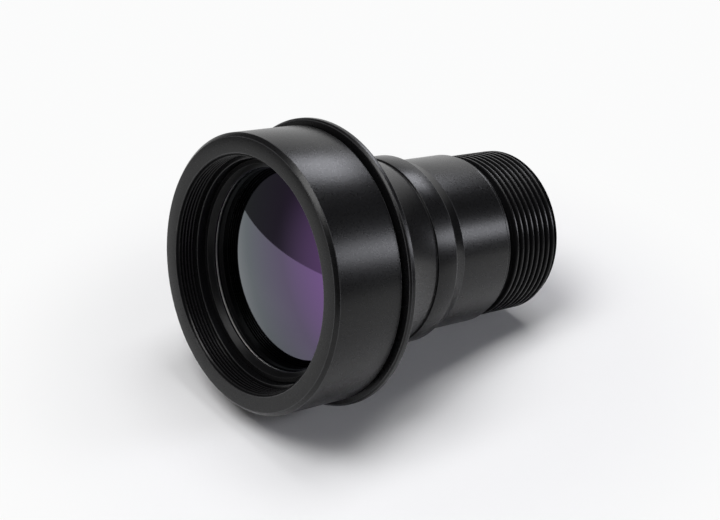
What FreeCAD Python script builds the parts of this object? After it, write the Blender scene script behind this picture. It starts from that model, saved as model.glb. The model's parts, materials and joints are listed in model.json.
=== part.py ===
import FreeCAD, Part
import math
import os
import Sketcher

# Thermal imaging lens: a short, fast infrared objective in a black anodised aluminium barrel.
# A wide front bell carries the large front element and an accessory thread in its mouth. Its spigot
# drops into the main housing, which runs from a thin flange through a tapered neck, a short band and
# a long barrel to the mounting thread. An inner cell holds two more elements and the stop, and the
# rear bore holds the last element.
# The lens stands on the end of its mounting thread, with its front glass up.
# +Z runs along the optical axis, from the detector side to the scene.
# The origin is the centre of the rear end face. Lengths are in millimetres.

doc = FreeCAD.newDocument("thermal_lens")
sheet = doc.addObject("Spreadsheet::Sheet", "Sizes")

SIZES = {
    # Front bell, outside
    "bell_radius": 27.0,
    "bell_length": 15.7,
    "bell_front_chamfer": 0.75,
    "bell_rear_chamfer": 0.45,
    # Front bell, mouth and its M46 x 0.75 accessory thread
    "filter_thread_radius": 23.0,
    "filter_thread_pitch": 0.75,
    "filter_thread_depth": 0.41,
    "filter_thread_root": 0.1,
    "filter_thread_grooves": 5,
    "filter_thread_start": 0.8,
    "filter_thread_span": 3.0,
    "mouth_chamfer": 0.6,
    "recess_depth": 4.3,
    "recess_edge": 0.15,
    # Front bell, seat of the front element
    "front_seat_depth": 11.1,
    "front_seat_width": 2.0,
    "front_seat_thickness": 1.3,
    "front_pilot_length": 2.4,
    "front_seal_height": 1.2,
    "spigot_radius": 20.0,
    "spigot_length": 5.0,
    "spigot_wall": 2.2,
    "spigot_cone_length": 0.8,
    "spigot_end_chamfer": 0.3,
    "joint_seal_depth": 2.6,
    # Front retaining ring
    "front_ring_radius": 21.6,
    "front_ring_depth": 5.95,
    "front_ring_land": 0.95,
    "front_ring_bevel_width": 0.85,
    "front_ring_bevel_depth": 1.05,
    "front_skirt_wall": 0.9,
    # Front element
    "front_ring_step": 1.1,
    "front_element_edge": 3.4,
    "front_element_front_curve": 63.4,
    "front_element_back_curve": 92.0,
    "front_element_front_rim": 0.4,
    "front_element_back_rim": 2.2,
    # Housing, outside
    "joint_gap": 0.6,
    "flange_overhang": 1.3,
    "flange_thickness": 1.6,
    "flange_chamfer": 0.38,
    "neck_start_radius": 23.8,
    "neck_end_radius": 18.7,
    "neck_length": 14.1,
    "band_radius": 19.1,
    "band_length": 5.3,
    "band_chamfer": 0.4,
    "cone_length": 3.0,
    "barrel_radius": 17.6,
    "barrel_length": 12.6,
    "barrel_edge": 0.2,
    "lip_drop": 0.3,
    "lip_length": 0.85,
    "relief_radius": 15.9,
    "relief_length": 1.2,
    # Housing, M34 x 1.5 mounting thread
    "mount_thread_radius": 17.0,
    "mount_thread_length": 13.9,
    "mount_thread_pitch": 1.5,
    "mount_thread_depth": 0.85,
    "mount_thread_root": 0.22,
    "mount_thread_grooves": 8,
    "mount_thread_start": 1.75,
    "mount_thread_runout": 0.65,
    "mount_end_chamfer": 1.2,
    # Housing, inside
    "joint_entry": 0.3,
    "cell_floor_height": 22.0,
    "rear_throat_radius": 13.4,
    "rear_seat_width": 1.6,
    "rear_seat_thickness": 2.0,
    "rear_mouth_chamfer": 0.4,
    # Shim and baffle between the bell and the housing
    "shim_width": 3.0,
    "baffle_thickness": 0.3,
    "baffle_reach": 1.9,
    # Inner cell and the ring above it
    "cell_radius": 15.5,
    "cell_length": 22.5,
    "cell_seat_radius": 12.2,
    "cell_seat_thickness": 2.2,
    "cell_pad_length": 4.0,
    "cell_waist_depth": 0.4,
    "cell_mouth_chamfer": 0.3,
    "cell_ring_thickness": 2.3,
    "cell_ring_width": 2.1,
    # Third element, at the bottom of the cell
    "inner_element_radius": 13.5,
    "third_element_edge": 3.2,
    "third_element_front_curve": 45.0,
    "third_element_back_curve": 34.0,
    # Spacer tube and aperture stop
    "spacer_length": 8.0,
    "spacer_wall": 0.9,
    "stop_thickness": 0.4,
    "stop_radius": 11.0,
    # Middle element and its ring
    "middle_element_edge": 3.8,
    "middle_element_front_curve": 38.0,
    "middle_element_back_curve": 60.0,
    "inner_front_clear": 12.4,
    "inner_back_clear": 12.0,
    "middle_ring_thickness": 2.4,
    "middle_ring_width": 1.2,
    # Rear element and its ring
    "rear_element_radius": 14.1,
    "rear_element_edge": 3.2,
    "rear_element_front_curve": 30.0,
    "rear_element_back_curve": 46.0,
    "rear_ring_depth": 4.4,
    "rear_ring_thickness": 2.4,
    "rear_ring_width": 1.9,
    "rear_seal_height": 1.45,
    # Seals
    "seal_section": 0.84,
    "seal_groove_width": 1.1,
    "seal_groove_depth": 0.8,
    # Details that several pieces share
    "washer_thickness": 0.2,
    "washer_width": 0.9,
    "glass_bevel": 0.15,
    "edge_break": 0.12,
    "slot_width": 1.6,
    "slot_depth": 0.9,
    # Clearances on the radius
    "fit_gap": 0.1,
}


class Size:
    """A length that knows its value now and its formula in the sheet."""

    def __init__(self, value, formula):
        self.value = value
        self.formula = formula

    def __add__(self, other):
        return Size(self.value + other.value, "(%s + %s)" % (self.formula, other.formula))

    def __sub__(self, other):
        return Size(self.value - other.value, "(%s - %s)" % (self.formula, other.formula))

    def __mul__(self, factor):
        return Size(self.value * factor, "(%s * %r)" % (self.formula, factor))

    def root_beside(self, other):
        """The third side of a right triangle with this long side and the other short side."""
        value = math.sqrt(self.value ** 2 - other.value ** 2)
        return Size(value, "sqrt(%s ^ 2 - %s ^ 2)" % (self.formula, other.formula))


class Table:
    """The sheet's sizes, by name."""


AXIS = Size(0.0, "0")
FLOOR = Size(0.0, "0")
HALF = 0.5
FULL_TURN = 360.0
THREAD_FLANK = math.tan(math.radians(30.0))

size = Table()
for row, (alias, value) in enumerate(SIZES.items(), start=1):
    cell = "B%d" % row
    sheet.set("A%d" % row, alias)
    sheet.set(cell, repr(value))
    sheet.setAlias(cell, alias)
    setattr(size, alias, Size(float(value), "Sizes.%s" % alias))
doc.recompute()


def sag(curve, radius):
    """How far a sphere of this curve falls from its top to this radius."""
    return curve - curve.root_beside(radius)


def origin_plane(body, role):
    """One of the body's own origin planes."""
    return next(item for item in body.Origin.OriginFeatures if item.Role == role)


def new_body(label):
    """A body at the origin, named as its node."""
    body = doc.addObject("PartDesign::Body", label)
    body.Label = label
    body.Placement = FreeCAD.Placement()
    return body


def new_sketch(body, name, role):
    """A sketch on one of the body's origin planes."""
    sketch = body.newObject("Sketcher::SketchObject", name)
    sketch.AttachmentSupport = [(origin_plane(body, role), "")]
    sketch.MapMode = "FlatFace"
    return sketch


def bind(sketch, kind, geometry, point, length):
    """Hold one coordinate of a sketch point at a length from the sheet."""
    axis = {"DistanceX": -2, "DistanceY": -1}[kind]
    if length.formula == "0":
        sketch.addConstraint(Sketcher.Constraint("PointOnObject", geometry, point, axis))
        return
    index = sketch.addConstraint(Sketcher.Constraint(kind, -1, 1, geometry, point, length.value))
    sketch.setExpression("Constraints[%d]" % index, length.formula)


def arc_between(start, end, centre_height, radius):
    """An arc about a point of the axis, and whether it runs from start to end."""
    angles = [math.atan2(z - centre_height, r) for r, z in (start, end)]
    forward = angles[1] > angles[0]
    circle = Part.Circle(FreeCAD.Vector(0, centre_height, 0), FreeCAD.Vector(0, 0, 1), radius)
    return Part.ArcOfCircle(circle, min(angles), max(angles)), forward


def draw_outline(sketch, outline):
    """Draw a closed outline of (radius, height) corners, each with the curve that leaves it or none."""
    starts = []
    ends = []
    for index, corner in enumerate(outline):
        follower = outline[(index + 1) % len(outline)]
        start = (corner[0].value, corner[1].value)
        end = (follower[0].value, follower[1].value)
        if len(corner) == 2:
            line = Part.LineSegment(FreeCAD.Vector(*start, 0), FreeCAD.Vector(*end, 0))
            edge = sketch.addGeometry(line, False)
            forward = True
        else:
            curve, centre_height = corner[2]
            arc, forward = arc_between(start, end, centre_height.value, curve.value)
            edge = sketch.addGeometry(arc, False)
            radius = sketch.addConstraint(Sketcher.Constraint("Radius", edge, curve.value))
            sketch.setExpression("Constraints[%d]" % radius, curve.formula)
        starts.append((edge, 1 if forward else 2))
        ends.append((edge, 2 if forward else 1))
    for index, corner in enumerate(outline):
        start = starts[index]
        sketch.addConstraint(Sketcher.Constraint("Coincident", *ends[index - 1], *start))
        bind(sketch, "DistanceX", *start, corner[0])
        bind(sketch, "DistanceY", *start, corner[1])


def turn(body, sketch, kind, name):
    """Turn a sketch about the optical axis, as a Revolution or as a Groove."""
    feature = body.newObject("PartDesign::" + kind, name)
    feature.Profile = sketch
    feature.ReferenceAxis = (sketch, ["V_Axis"])
    feature.Angle = FULL_TURN
    sketch.Visibility = False
    return feature


def turned(label, outline):
    """A turned piece from its half section."""
    body = new_body(label)
    sketch = new_sketch(body, label + "_section", "XZ_Plane")
    draw_outline(sketch, outline)
    turn(body, sketch, "Revolution", label + "_turned")
    doc.recompute()
    return body


def ring(label, inner, outer, bottom, top):
    """A plain flat ring."""
    return turned(label, [(inner, bottom), (outer, bottom), (outer, top), (inner, top)])


def seal(label, radius, height):
    """A round-section rubber ring, its section centred at this radius and height."""
    body = new_body(label)
    sketch = new_sketch(body, label + "_section", "XZ_Plane")
    centre = FreeCAD.Vector(radius.value, height.value, 0)
    section_radius = size.seal_section * HALF
    circle = Part.Circle(centre, FreeCAD.Vector(0, 0, 1), section_radius.value)
    edge = sketch.addGeometry(circle, False)
    index = sketch.addConstraint(Sketcher.Constraint("Radius", edge, section_radius.value))
    sketch.setExpression("Constraints[%d]" % index, section_radius.formula)
    bind(sketch, "DistanceX", edge, 3, radius)
    bind(sketch, "DistanceY", edge, 3, height)
    turn(body, sketch, "Revolution", label + "_turned")
    doc.recompute()
    return body


def element(label, radius, floor, edge, front, back):
    """A meniscus element, bowed towards the scene. front and back are (curve, clear radius)."""
    top = floor + edge
    front_curve, front_clear = front
    back_curve, back_clear = back
    front_pole = top + sag(front_curve, front_clear)
    back_pole = floor + sag(back_curve, back_clear)
    bevel = size.glass_bevel
    return turned(label, [
        (AXIS, back_pole, (back_curve, back_pole - back_curve)),
        (back_clear, floor),
        (radius - bevel, floor),
        (radius, floor + bevel),
        (radius, top - bevel),
        (radius - bevel, top),
        (front_clear, top, (front_curve, front_pole - front_curve)),
        (AXIS, front_pole),
    ])


def cut_thread(body, name, crest, root, first, root_width, pitch, count):
    """Cut evenly spaced V grooves from the crest radius to the root radius, going up from the first."""
    depth = root - crest
    flank_run = depth * math.copysign(THREAD_FLANK, depth.value)
    half_root = root_width * HALF
    clear_radius = crest - depth * HALF
    half_mouth = half_root + flank_run * (1 + HALF)
    sketch = new_sketch(body, name + "_section", "XZ_Plane")
    draw_outline(sketch, [
        (root, first - half_root),
        (root, first + half_root),
        (clear_radius, first + half_mouth),
        (clear_radius, first - half_mouth),
    ])
    groove = turn(body, sketch, "Groove", name + "_groove")
    doc.recompute()
    pattern = body.newObject("PartDesign::LinearPattern", name + "_pattern")
    pattern.Originals = [groove]
    pattern.Direction = (sketch, ["V_Axis"])
    pattern.Length = pitch.value * (count.value - 1)
    pattern.setExpression("Length", "%s * (%s - 1)" % (pitch.formula, count.formula))
    pattern.Occurrences = int(count.value)
    pattern.setExpression("Occurrences", count.formula)
    body.Tip = pattern
    doc.recompute()


def cut_slots(body, name, radius, face, into_part_is_up):
    """Cut a straight spanner slot across both sides of a ring, from one of its flat faces."""
    sketch = new_sketch(body, name + "_section", "XY_Plane")
    sketch.AttachmentOffset = FreeCAD.Placement(FreeCAD.Vector(0, 0, face.value), FreeCAD.Rotation())
    sketch.setExpression("AttachmentOffset.Base.z", face.formula)
    reach = radius + size.slot_width
    half_width = size.slot_width * HALF
    corners = [(-1, -1), (1, -1), (1, 1), (-1, 1)]
    points = [FreeCAD.Vector(x * reach.value, y * half_width.value, 0) for x, y in corners]
    for index, point in enumerate(points):
        sketch.addGeometry(Part.LineSegment(point, points[(index + 1) % len(points)]), False)
    for index in range(len(points)):
        before = (index - 1) % len(points)
        sketch.addConstraint(Sketcher.Constraint("Coincident", before, 2, index, 1))
        kind = "Horizontal" if index % 2 == 0 else "Vertical"
        sketch.addConstraint(Sketcher.Constraint(kind, index))
    sketch.addConstraint(Sketcher.Constraint("Symmetric", 0, 1, 1, 2, -1, 1))
    for kind, length in (("DistanceX", reach), ("DistanceY", half_width)):
        bind(sketch, kind, 1, 2, length)
    pocket = body.newObject("PartDesign::Pocket", name + "_slots")
    pocket.Profile = sketch
    pocket.Length = size.slot_depth.value
    pocket.setExpression("Length", size.slot_depth.formula)
    pocket.Reversed = into_part_is_up
    body.Tip = pocket
    sketch.Visibility = False
    doc.recompute()


# Heights of the housing's outside, from the rear end up
thread_top = FLOOR + size.mount_thread_length
relief_top = thread_top + size.relief_length
lip_top = relief_top + size.lip_length
barrel_top = lip_top + size.barrel_length
cone_top = barrel_top + size.cone_length
band_top = cone_top + size.band_length
flange_rear = band_top + size.neck_length
flange_front = flange_rear + size.flange_thickness
bell_rear = flange_front + size.joint_gap
front_face = bell_rear + size.bell_length

# Radii that mating pieces share
front_glass_radius = size.front_ring_radius - size.front_ring_step
glass_bore = front_glass_radius + size.fit_gap
front_ring_bore = size.front_ring_radius + size.fit_gap
front_seat_radius = glass_bore - size.front_seat_width
spigot_bore = size.spigot_radius - size.spigot_wall
joint_bore = size.spigot_radius + size.fit_gap
cell_bore = size.cell_radius + size.fit_gap
cell_pocket = size.inner_element_radius + size.fit_gap
rear_bore = size.rear_element_radius + size.fit_gap
flange_radius = size.bell_radius + size.flange_overhang
filter_crest = size.filter_thread_radius - size.filter_thread_depth
mount_root = size.mount_thread_radius - size.mount_thread_depth

# Heights inside, from the seats
front_seat = front_face - size.front_seat_depth
front_pilot_top = front_seat + size.front_pilot_length
spigot_end = bell_rear - size.spigot_length
joint_floor = spigot_end - size.baffle_thickness
cell_floor = FLOOR + size.cell_floor_height
cell_top = cell_floor + size.cell_length
third_seat = cell_floor + size.cell_seat_thickness
spacer_bottom = third_seat + size.third_element_edge
stop_bottom = spacer_bottom + size.spacer_length
middle_seat = stop_bottom + size.stop_thickness
middle_top = middle_seat + size.middle_element_edge
middle_ring_bottom = middle_top + size.washer_thickness
middle_ring_top = middle_ring_bottom + size.middle_ring_thickness
rear_ring_bottom = FLOOR + size.rear_ring_depth
rear_ring_top = rear_ring_bottom + size.rear_ring_thickness
rear_element_bottom = rear_ring_top + size.washer_thickness
rear_seat = rear_element_bottom + size.rear_element_edge
half_seal_groove = size.seal_groove_width * HALF


def groove_in_wall(wall, centre, outwards):
    """The corners of a seal groove in a wall, going up the wall."""
    depth = size.seal_groove_depth
    bottom = wall + depth if outwards else wall - depth
    low = centre - half_seal_groove
    high = centre + half_seal_groove
    return [(wall, low), (bottom, low), (bottom, high), (wall, high)]


# Front bell: mouth, seat of the front element and the spigot that enters the housing
front_seal_centre = front_seat + size.front_seal_height
joint_seal_centre = bell_rear - size.joint_seal_depth
recess_floor = front_face - size.recess_depth
bell_inner_step = front_seat - size.front_seat_thickness
spigot_shoulder = bell_inner_step - size.spigot_cone_length
bell = turned("front_bell", [
    (spigot_bore, spigot_end),
    (size.spigot_radius - size.spigot_end_chamfer, spigot_end),
    (size.spigot_radius, spigot_end + size.spigot_end_chamfer),
    *groove_in_wall(size.spigot_radius, joint_seal_centre, False),
    (size.spigot_radius, bell_rear),
    (size.bell_radius - size.bell_rear_chamfer, bell_rear),
    (size.bell_radius, bell_rear + size.bell_rear_chamfer),
    (size.bell_radius, front_face - size.bell_front_chamfer),
    (size.bell_radius - size.bell_front_chamfer, front_face),
    (filter_crest + size.mouth_chamfer, front_face),
    (filter_crest, front_face - size.mouth_chamfer),
    (filter_crest, recess_floor),
    (front_ring_bore + size.recess_edge, recess_floor),
    (front_ring_bore, recess_floor - size.recess_edge),
    (front_ring_bore, front_pilot_top),
    *reversed(groove_in_wall(glass_bore, front_seal_centre, True) + [(glass_bore, front_pilot_top)]),
    (glass_bore, front_seat),
    (front_seat_radius, front_seat),
    (front_seat_radius, bell_inner_step),
    (spigot_bore, spigot_shoulder),
])
filter_first = front_face - size.filter_thread_start - size.filter_thread_span
cut_thread(
    bell, "filter_thread", filter_crest, size.filter_thread_radius, filter_first,
    size.filter_thread_root, size.filter_thread_pitch, size.filter_thread_grooves,
)

# Front element, its seal, its washer and its retaining ring
front_clear_radius = front_glass_radius - size.front_element_front_rim
element(
    "front_element", front_glass_radius, front_seat, size.front_element_edge,
    (size.front_element_front_curve, front_clear_radius),
    (size.front_element_back_curve, front_glass_radius - size.front_element_back_rim),
)
seal("front_o_ring", front_glass_radius + (size.seal_groove_depth + size.fit_gap) * HALF, front_seal_centre)

front_element_top = front_seat + size.front_element_edge
front_pole = front_element_top + sag(size.front_element_front_curve, front_clear_radius)
front_ring_top = front_face - size.front_ring_depth
front_ring_inner = size.front_ring_radius - size.front_ring_land - size.front_ring_bevel_width
skirt_radius = size.front_ring_radius - size.front_skirt_wall
front_washer_inner = front_ring_inner + size.fit_gap
front_washer_bottom = front_pole - sag(size.front_element_front_curve, front_washer_inner)
front_washer_top = front_washer_bottom + size.washer_thickness
ring("front_slip_washer", front_washer_inner, skirt_radius - size.fit_gap, front_washer_bottom, front_washer_top)
turned("front_retaining_ring", [
    (skirt_radius, front_pilot_top),
    (size.front_ring_radius, front_pilot_top),
    (size.front_ring_radius, front_ring_top - size.edge_break),
    (size.front_ring_radius - size.edge_break, front_ring_top),
    (size.front_ring_radius - size.front_ring_land, front_ring_top),
    (front_ring_inner, front_ring_top - size.front_ring_bevel_depth),
    (front_ring_inner, front_washer_top),
    (skirt_radius, front_washer_top),
])

# Joint of the bell and the housing: infinity shim, seal and glare baffle
ring("focus_shim", joint_bore, joint_bore + size.shim_width, flange_front, bell_rear)
seal("joint_o_ring", joint_bore - (size.seal_groove_depth + size.fit_gap) * HALF, joint_seal_centre)
ring("glare_baffle", spigot_bore - size.baffle_reach, size.spigot_radius, joint_floor, spigot_end)

# Main housing: flange, neck, band, cone, barrel, lip, thread relief and mounting thread
rear_seal_centre = rear_seat - size.rear_seal_height
rear_seat_radius = rear_bore - size.rear_seat_width
rear_seat_top = rear_seat + size.rear_seat_thickness
rear_throat_bottom = rear_seat_top + (size.rear_throat_radius - rear_seat_radius)
lip_radius = size.barrel_radius - size.lip_drop
housing = turned("main_housing", [
    (rear_bore + size.rear_mouth_chamfer, FLOOR),
    (size.mount_thread_radius - size.mount_end_chamfer, FLOOR),
    (size.mount_thread_radius, FLOOR + size.mount_end_chamfer),
    (size.mount_thread_radius, thread_top - size.mount_thread_runout),
    (size.relief_radius, thread_top),
    (size.relief_radius, relief_top),
    (lip_radius - size.barrel_edge, relief_top),
    (lip_radius, relief_top + size.barrel_edge),
    (lip_radius, lip_top - size.edge_break),
    (lip_radius - size.edge_break, lip_top),
    (size.barrel_radius - size.edge_break, lip_top + size.edge_break),
    (size.barrel_radius, lip_top + size.edge_break * 2),
    (size.barrel_radius, barrel_top),
    (size.band_radius - size.band_chamfer, cone_top),
    (size.band_radius, cone_top + size.band_chamfer),
    (size.band_radius, band_top - size.edge_break),
    (size.neck_end_radius, band_top),
    (size.neck_start_radius, flange_rear),
    (flange_radius - size.flange_chamfer, flange_rear),
    (flange_radius, flange_rear + size.flange_chamfer),
    (flange_radius, flange_front - size.flange_chamfer),
    (flange_radius - size.flange_chamfer, flange_front),
    (joint_bore + size.joint_entry, flange_front),
    (joint_bore, flange_front - size.joint_entry),
    (joint_bore, joint_floor),
    (cell_bore, joint_floor),
    (cell_bore, cell_floor),
    (size.rear_throat_radius, cell_floor),
    (size.rear_throat_radius, rear_throat_bottom),
    (rear_seat_radius, rear_seat_top),
    (rear_seat_radius, rear_seat),
    (rear_bore, rear_seat),
    *reversed(groove_in_wall(rear_bore, rear_seal_centre, True)),
    (rear_bore, FLOOR + size.rear_mouth_chamfer),
])
cut_thread(
    housing, "mount_thread", size.mount_thread_radius, mount_root, FLOOR + size.mount_thread_start,
    size.mount_thread_root, size.mount_thread_pitch, size.mount_thread_grooves,
)

# Inner cell with the third element, spacer, stop and middle element, and the rings that hold them
cell_waist = size.cell_radius - size.cell_waist_depth
turned("inner_cell", [
    (size.cell_seat_radius, cell_floor),
    (size.cell_radius, cell_floor),
    (size.cell_radius, cell_floor + size.cell_pad_length),
    (cell_waist, cell_floor + size.cell_pad_length + size.cell_waist_depth),
    (cell_waist, cell_top - size.cell_pad_length - size.cell_waist_depth),
    (size.cell_radius, cell_top - size.cell_pad_length),
    (size.cell_radius, cell_top),
    (cell_pocket + size.cell_mouth_chamfer, cell_top),
    (cell_pocket, cell_top - size.cell_mouth_chamfer),
    (cell_pocket, third_seat),
    (size.cell_seat_radius, third_seat),
])
element(
    "third_element", size.inner_element_radius, third_seat, size.third_element_edge,
    (size.third_element_front_curve, size.inner_front_clear),
    (size.third_element_back_curve, size.inner_back_clear),
)
spacer_inner = size.inner_element_radius - size.spacer_wall
ring("spacer_tube", spacer_inner, size.inner_element_radius, spacer_bottom, stop_bottom)
ring("aperture_stop", size.stop_radius, size.inner_element_radius, stop_bottom, middle_seat)
element(
    "middle_element", size.inner_element_radius, middle_seat, size.middle_element_edge,
    (size.middle_element_front_curve, size.inner_front_clear),
    (size.middle_element_back_curve, size.inner_back_clear),
)
middle_washer_inner = size.inner_element_radius - size.washer_width
ring("middle_slip_washer", middle_washer_inner, size.inner_element_radius, middle_top, middle_ring_bottom)
middle_ring_inner = size.inner_element_radius - size.middle_ring_width


def slotted_ring(label, inner, outer, bottom, top, slots_on_top):
    """A retaining ring with broken outer corners and two spanner slots in one face."""
    broken = outer - size.edge_break
    body = turned(label, [
        (inner, bottom),
        (broken, bottom),
        (outer, bottom + size.edge_break),
        (outer, top - size.edge_break),
        (broken, top),
        (inner, top),
    ])
    cut_slots(body, label, outer, top if slots_on_top else bottom, not slots_on_top)
    return body


slotted_ring("middle_retaining_ring", middle_ring_inner, size.inner_element_radius, middle_ring_bottom,
             middle_ring_top, True)
cell_ring_inner = size.cell_radius - size.cell_ring_width
slotted_ring("cell_retaining_ring", cell_ring_inner, size.cell_radius, cell_top,
             cell_top + size.cell_ring_thickness, True)

# Rear element, its seal, its washer and its retaining ring
element(
    "rear_element", size.rear_element_radius, rear_element_bottom, size.rear_element_edge,
    (size.rear_element_front_curve, size.inner_front_clear),
    (size.rear_element_back_curve, size.inner_back_clear),
)
seal("rear_o_ring", size.rear_element_radius + (size.seal_groove_depth + size.fit_gap) * HALF, rear_seal_centre)
rear_ring_inner = size.rear_element_radius - size.rear_ring_width
ring("rear_slip_washer", rear_ring_inner + size.fit_gap, size.rear_element_radius, rear_ring_top, rear_element_bottom)
slotted_ring("rear_retaining_ring", rear_ring_inner, size.rear_element_radius, rear_ring_bottom,
             rear_ring_top, False)

# Check every object and every piece, then write one file a piece
doc.recompute()
for item in doc.Objects:
    if "Invalid" in item.State or "Error" in item.State:
        raise RuntimeError("%s is in error: %s" % (item.Label, item.State))
os.makedirs("parts", exist_ok=True)
bodies = [item for item in doc.Objects if item.TypeId == "PartDesign::Body"]
for body in bodies:
    shape = body.Shape
    if shape.isNull() or not shape.isValid() or len(shape.Solids) != 1:
        raise RuntimeError("%s is not one valid solid" % body.Label)
    shape.exportStep(os.path.join("parts", body.Label + ".step"))
    print("%-24s %9.1f mm3  z %6.2f to %6.2f" % (body.Label, shape.Volume, shape.BoundBox.ZMin, shape.BoundBox.ZMax))
print("pieces:", len(bodies))
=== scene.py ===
# %% [markdown]
# # A thermal imaging lens, dressed in Blender
# The lens is a short infrared objective. Its barrel is black anodised aluminium and its elements are
# germanium, a metal-like crystal that looks dark and shiny because visible light doesn't pass it.
# The CAD model comes first, as a fixed frame: every piece made here sits where the frame says, in
# metres, with +Z along the optical axis from the thread to the front glass.

# %% Load the frame
import json
import math

import bmesh
import bpy
from mathutils import Matrix, Vector


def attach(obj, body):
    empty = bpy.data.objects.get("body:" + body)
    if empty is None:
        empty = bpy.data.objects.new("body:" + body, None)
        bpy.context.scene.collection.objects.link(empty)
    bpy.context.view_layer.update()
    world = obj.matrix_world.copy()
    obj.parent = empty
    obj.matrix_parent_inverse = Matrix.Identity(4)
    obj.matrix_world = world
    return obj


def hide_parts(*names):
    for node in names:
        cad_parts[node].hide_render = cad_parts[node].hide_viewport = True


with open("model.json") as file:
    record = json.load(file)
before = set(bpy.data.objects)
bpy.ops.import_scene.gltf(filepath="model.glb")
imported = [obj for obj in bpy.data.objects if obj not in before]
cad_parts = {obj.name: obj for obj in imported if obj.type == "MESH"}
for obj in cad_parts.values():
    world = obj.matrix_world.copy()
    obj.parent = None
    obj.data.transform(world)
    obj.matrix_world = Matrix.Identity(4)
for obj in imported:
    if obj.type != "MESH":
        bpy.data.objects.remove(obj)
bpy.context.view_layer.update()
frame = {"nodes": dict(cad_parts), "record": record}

MM = 0.001
record = frame["record"]
slot_of = {row["node"]: row["material_slot"] for row in record["subparts"]}

# %% [markdown]
# ## Turned pieces
# Nearly everything on this lens is turned on a lathe, so the natural tool is the spin operator: a half
# section is drawn as a wire in the XZ plane, its corners are rounded with a vertex bevel, and the wire
# is spun once round Z. A cylinder with a Bevel modifier would also do, but it can't give a whole
# section of steps and grooves at once. The small rounds matter more than their size suggests: a sharp
# edge reflects nothing, and thin bright lines are light caught on broken edges. Each point also carries
# a number which the finishes read: 1 in the middle of a rounded edge, which is painted paler, part wear
# and part painted highlight; a little on the crest of a thread; 0 on plain faces; and less than 0 where
# the surface is dull, which in the thread grooves is painted shade.

# %% A wire with rounded corners
CORNER_STEPS = 3


def wire(mesh, corners, closed):
    """Joins (radius, height, rounding) corners, in mm, with edges, and rounds each corner."""
    wear_and_painted_light = mesh.verts.layers.float.get("wear_and_painted_light") or mesh.verts.layers.float.new("wear_and_painted_light")
    points = [mesh.verts.new((r * MM, 0.0, z * MM)) for r, z, *rest in corners]
    rounds = [rest[0] if rest else 0.0 for r, z, *rest in corners]
    pairs = list(zip(points, points[1:]))
    if closed:
        pairs.append((points[-1], points[0]))
    for pair in pairs:
        mesh.edges.new(pair)
    for point, radius in zip(points, rounds):
        if radius:
            arc = bmesh.ops.bevel(mesh, geom=[point], offset=radius * MM, offset_type="OFFSET",
                                  segments=CORNER_STEPS, profile=0.5, affect="VERTICES",
                                  material=-1)["verts"]
            # The middle of each rounded edge is marked for a paler colour, part wear and part painted
            # highlight
            for vert in arc:
                inner = all(edge.other_vert(vert) in arc for edge in vert.link_edges)
                vert[wear_and_painted_light] = 1.0 if inner else 0.0


print("edges in a rounded corner:", CORNER_STEPS)

# %% Spin a wire round the axis
STEPS = 288
WEDGES = 24
SAME_PLACE = 5e-6


def spin_wire(mesh, verts, steps=STEPS):
    """Spins a wire through one wedge round the optical axis, and repeats the wedge to close the turn."""
    edges = {edge for vert in verts for edge in vert.link_edges}
    before = set(mesh.verts) - set(verts)
    bmesh.ops.spin(mesh, geom=list(verts) + list(edges), cent=(0, 0, 0), axis=(0, 0, 1), dvec=(0, 0, 0),
                   angle=2 * math.pi / WEDGES, steps=steps // WEDGES, use_merge=False, use_duplicate=False)
    wedge = [vert for vert in mesh.verts if vert not in before]
    repeat(mesh, wedge, WEDGES, Matrix.Rotation(2 * math.pi / WEDGES, 4, "Z"))


def repeat(mesh, verts, count, move):
    """Copies the points and all that joins them, count - 1 times, each one move on from the last."""
    inside = set(verts)
    geometry = list(verts)
    geometry += [edge for edge in mesh.edges if inside.issuperset(edge.verts)]
    geometry += [face for face in mesh.faces if inside.issuperset(face.verts)]
    everything = list(verts)
    for number in range(count - 1):
        geometry = bmesh.ops.duplicate(mesh, geom=geometry)["geom"]
        copies = [item for item in geometry if isinstance(item, bmesh.types.BMVert)]
        bmesh.ops.transform(mesh, matrix=move, verts=copies)
        everything += copies
    bmesh.ops.remove_doubles(mesh, verts=everything, dist=SAME_PLACE)


print("columns in a turn:", STEPS, "in wedges:", WEDGES)

# %% From a mesh to a finished piece
SMOOTH_UP_TO = 28.0


def finished(mesh, name, node, material, crease=SMOOTH_UP_TO):
    """Turns a bmesh into a piece that stands for a CAD node, rides on the root and wears a material."""
    bmesh.ops.remove_doubles(mesh, verts=mesh.verts[:], dist=1e-7)
    bmesh.ops.recalc_face_normals(mesh, faces=mesh.faces[:])
    data = bpy.data.meshes.new(name)
    mesh.to_mesh(data)
    mesh.free()
    data.shade_smooth()
    data.set_sharp_from_angle(angle=math.radians(crease))
    piece = bpy.data.objects.new(name, data)
    bpy.context.scene.collection.objects.link(piece)
    data.materials.append(material)
    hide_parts(node)
    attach(piece, "root")
    triangles = sum(len(face.vertices) - 2 for face in data.polygons)
    print(f"{name}: {triangles} triangles")


def turned(name, node, corners, material):
    """A ring or sleeve from a closed half section."""
    mesh = bmesh.new()
    wire(mesh, corners, closed=True)
    spin_wire(mesh, mesh.verts[:])
    finished(mesh, name, node, material)


def dull_band(mesh, heights, radii, dullness):
    """Makes the points between two heights and two radii, in mm, duller."""
    wear_and_painted_light = mesh.verts.layers.float.get("wear_and_painted_light")
    for vert in mesh.verts:
        radius = math.hypot(vert.co.x, vert.co.y) / MM
        if heights[0] < vert.co.z / MM < heights[1] and radii[0] < radius < radii[1]:
            vert[wear_and_painted_light] = dullness


print("edges are sharp from, in degrees:", SMOOTH_UP_TO)

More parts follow.
